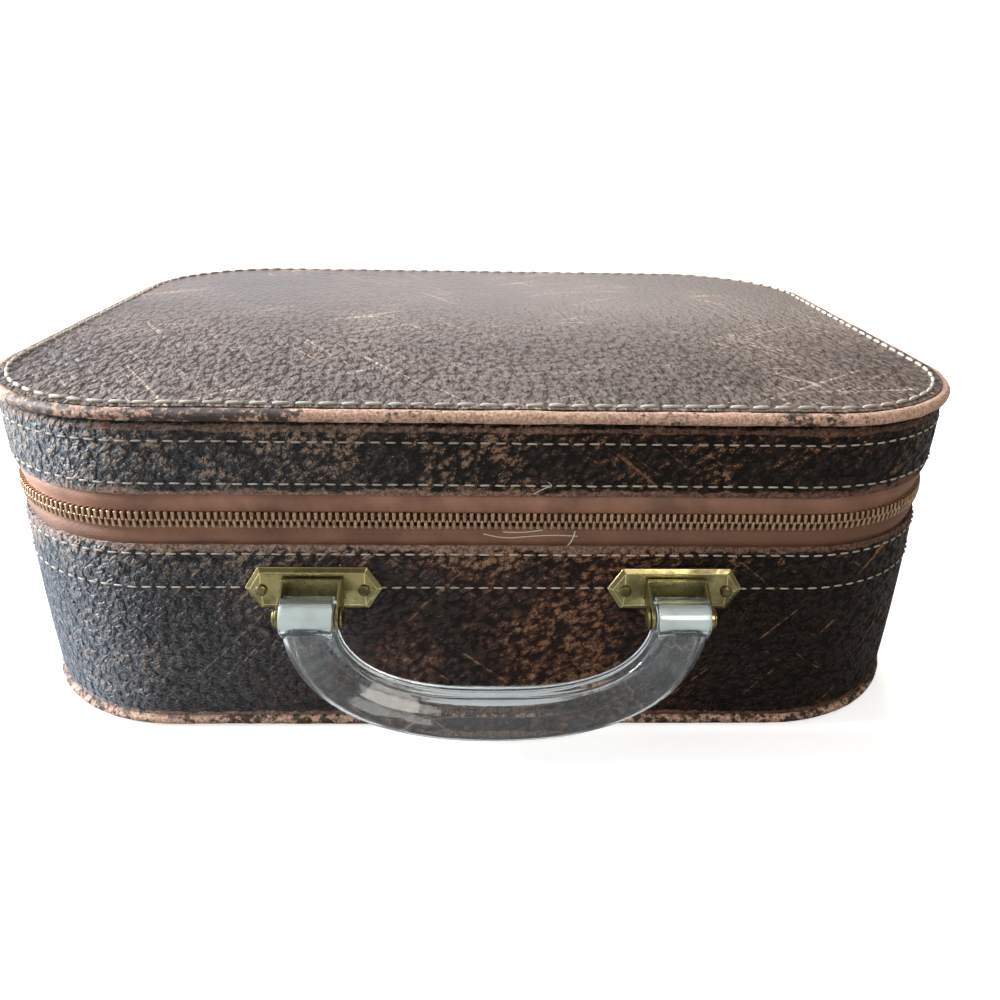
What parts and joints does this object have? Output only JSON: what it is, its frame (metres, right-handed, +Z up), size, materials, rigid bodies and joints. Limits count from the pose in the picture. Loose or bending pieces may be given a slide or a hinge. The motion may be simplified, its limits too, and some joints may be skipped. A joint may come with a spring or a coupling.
{
  "type": "makeup train case",
  "caption": "Low rounded leather train case that zips round its sides, with a leather hinge at the back, a mirror in the lid and a clear acrylic bail handle on brass brackets.",
  "frame": {"origin": "centre of the case's flat bottom face", "axes": "+X the viewer's right as the handle is faced, +Y towards the hinge at the back, +Z up"},
  "size_m": [0.3254, 0.2652, 0.114],
  "materials": {
    "leather_dark": "coarse pebbled grain, worn to tan on the high spots",
    "leather_worn_edge": "rubbed bare to tan suede along the edge",
    "zip_tape": "satin brown cloth",
    "zip_brass": "antique, dull",
    "bracket_brass": "aged olive gold, satin",
    "steel": "bright",
    "fibre_board": "pressed board",
    "lining": "matt cloth",
    "mirror": "silvered",
    "clear_acrylic": "clear, polished, faint blue-green"
  },
  "bodies": {
    "case_body": {"bottom_leather": "leather_dark", "bottom_board": "fibre_board", "bottom_welt": "leather_worn_edge", "body_frame": "fibre_board", "body_leather_band": "leather_dark", "body_lining_floor": "lining", "body_lining_wall": "lining", "zip_tape_lower": "zip_tape", "zip_teeth_lower": "zip_brass", "hinge_leather": "leather_dark", "zip_start_stop": "zip_brass", "zip_end_stop_lower": "zip_brass", "handle_plate_left": "bracket_brass", "handle_clevis_left": "bracket_brass", "handle_pin_left": "bracket_brass", "handle_plate_right": "bracket_brass", "handle_clevis_right": "bracket_brass", "handle_pin_right": "bracket_brass", "rivet_left_outer": "bracket_brass", "rivet_washer_left_outer": "steel", "rivet_left_inner": "bracket_brass", "rivet_washer_left_inner": "steel", "rivet_right_inner": "bracket_brass", "rivet_washer_right_inner": "steel", "rivet_right_outer": "bracket_brass", "rivet_washer_right_outer": "steel"},
    "lid": {"lid_top_leather": "leather_dark", "lid_top_board": "fibre_board", "lid_welt": "leather_worn_edge", "lid_frame": "fibre_board", "lid_leather_band": "leather_dark", "lid_lining_top": "lining", "lid_lining_wall": "lining", "lid_mirror": "mirror", "mirror_frame": "leather_dark", "zip_tape_upper": "zip_tape", "zip_teeth_upper": "zip_brass", "zip_end_stop_upper": "zip_brass"},
    "handle": {"handle_bar": "clear_acrylic", "handle_bush_left": "steel", "handle_bush_right": "steel"},
    "slider": {"zip_slider": "zip_brass"},
    "pull": {"zip_pull": "zip_brass"}
  },
  "joints": [
    {"name": "lid_hinge", "type": "hinge", "parent": "case_body", "child": "lid", "pos_m": [0, 0.122, 0.078], "axis": [-1, 0, 0], "range_deg": [0, 105], "deforming": ["hinge_leather"]},
    {"name": "handle_swing", "type": "hinge", "parent": "case_body", "child": "handle", "pos_m": [0.006, -0.134, 0.0515], "axis": [-1, 0, 0], "range_deg": [-4, 183]},
    {"name": "zip_slide", "type": "hinge", "parent": "case_body", "child": "slider", "pos_m": [0.102, 0.064, 0.078], "axis": [0, 0, -1], "range_deg": [0, 38]},
    {"name": "pull_swing", "type": "hinge", "parent": "slider", "child": "pull", "pos_m": [0.14962, 0.10132, 0.078], "axis": [0, 0, 1], "range_deg": [0, 175]}
  ]
}
